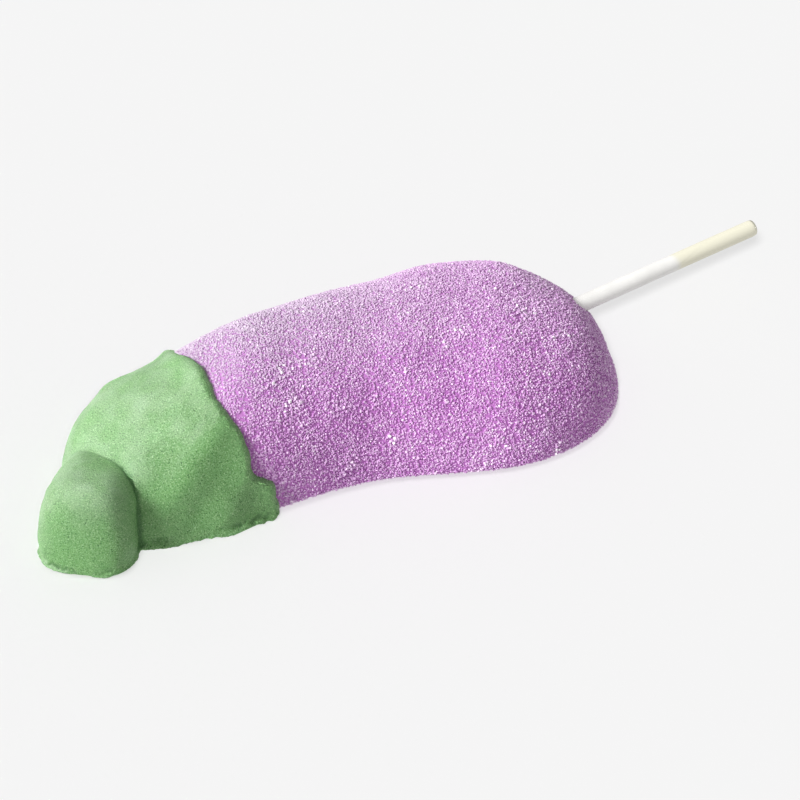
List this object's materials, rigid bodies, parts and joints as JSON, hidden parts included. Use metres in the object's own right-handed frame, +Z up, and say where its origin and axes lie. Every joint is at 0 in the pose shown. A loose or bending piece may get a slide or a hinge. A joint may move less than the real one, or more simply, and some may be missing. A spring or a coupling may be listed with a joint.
{
  "type": "marshmallow pop",
  "caption": "Aubergine-shaped sugared marshmallow on a paper stick, narrow end and stem dipped in a green coating, lying on its flat side.",
  "frame": {"origin": "middle of the bounding box's underside, on the surface that the pop lies on", "axes": "+X along the stick towards its free end, +Y towards the back, convex side of the body, +Z up, away from the flat side"},
  "size_m": [0.1904, 0.0652, 0.0333],
  "materials": {
    "sugared_marshmallow": "matte purple marshmallow covered in fine clear sugar crystals",
    "green_coating": "matte green confectionery coating with a fine grain and small pits",
    "white_paper": "smooth rolled white paper"
  },
  "bodies": {
    "root": {"marshmallow": "sugared_marshmallow", "green_coating": "green_coating", "paper_stick": "white_paper"}
  },
  "joints": []
}
